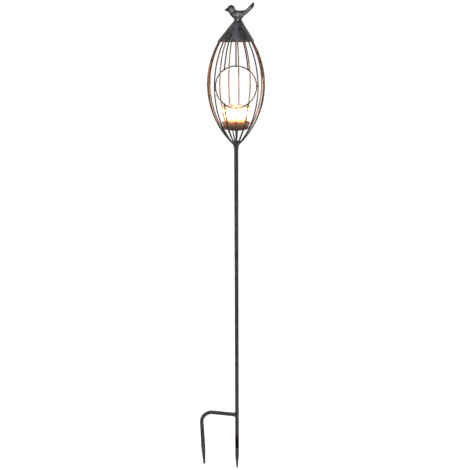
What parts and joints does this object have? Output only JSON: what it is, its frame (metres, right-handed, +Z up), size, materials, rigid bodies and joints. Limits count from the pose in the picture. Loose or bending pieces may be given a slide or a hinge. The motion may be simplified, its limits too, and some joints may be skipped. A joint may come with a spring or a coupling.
{
  "type": "garden candle lantern stake",
  "caption": "Garden stake with a pod-shaped wire cage, cone cap and bird finial, holding a flared glass candle cup above a forked ground spike.",
  "frame": {"origin": "the point on the stake's axis at ground level, just under the foot-press fork's arm", "axes": "+Z up along the stake, -Y out of the cage's round opening, -X the way the bird looks"},
  "size_m": [0.1645, 0.128, 1.1883],
  "materials": {
    "stake_iron": "antique black paint on iron, thin grey wear on the raised side",
    "spike_iron": "near-black with a heat-browned edge where the spike is welded on",
    "cage_iron": "antique brown-black paint on iron wire",
    "cap_sheet": "mottled antique charcoal on rolled sheet",
    "bird_iron": "antique charcoal casting, lighter grey on raised edges",
    "dish_iron": "antique brown, sooty and warm-lit inside",
    "cup_glass": "clear pressed glass, slightly hazed by candle soot",
    "candle_wax": "ivory paraffin wax, translucent",
    "tin_foil": "thin drawn aluminium",
    "wick_cotton": "charred cotton"
  },
  "bodies": {
    "stand": {"ground_spike": "spike_iron", "spike_weld": "spike_iron", "stake_rod": "stake_iron", "fork_tine": "stake_iron", "fork_weld": "stake_iron", "opening_ring": "cage_iron", "ring_welds": "cage_iron", "neck_weld": "cage_iron", "cap_cone": "cap_sheet", "cap_seam": "cap_sheet", "cap_welds": "cap_sheet", "bird_finial": "bird_iron", "finial_weld": "bird_iron", "dish_stem": "cage_iron", "candle_dish": "dish_iron", "dish_weld": "dish_iron", "cage_wire_1": "cage_iron", "cage_wire_2": "cage_iron", "cage_wire_3": "cage_iron", "cage_wire_4": "cage_iron", "cage_wire_5": "cage_iron", "cage_wire_6": "cage_iron", "cage_wire_7": "cage_iron", "cage_wire_8": "cage_iron", "cage_wire_9": "cage_iron", "cage_wire_10": "cage_iron", "cage_wire_11": "cage_iron", "cage_wire_12": "cage_iron", "upper_wire_left": "cage_iron", "upper_wire_middle": "cage_iron", "upper_wire_right": "cage_iron", "lower_wire_left": "cage_iron", "lower_wire_middle": "cage_iron", "lower_wire_right": "cage_iron"},
    "glass": {"glass_cup": "cup_glass"},
    "candle": {"tealight_tin": "tin_foil", "tealight_wax": "candle_wax", "wick": "wick_cotton", "wick_tab": "tin_foil"}
  },
  "joints": [
    {"name": "glass_lift", "type": "slide", "parent": "stand", "child": "glass", "axis": [0, 0, 1], "range_m": [0, 0.066]},
    {"name": "candle_lift", "type": "slide", "parent": "glass", "child": "candle", "axis": [0, 0, 1], "range_m": [0, 0.052]}
  ]
}
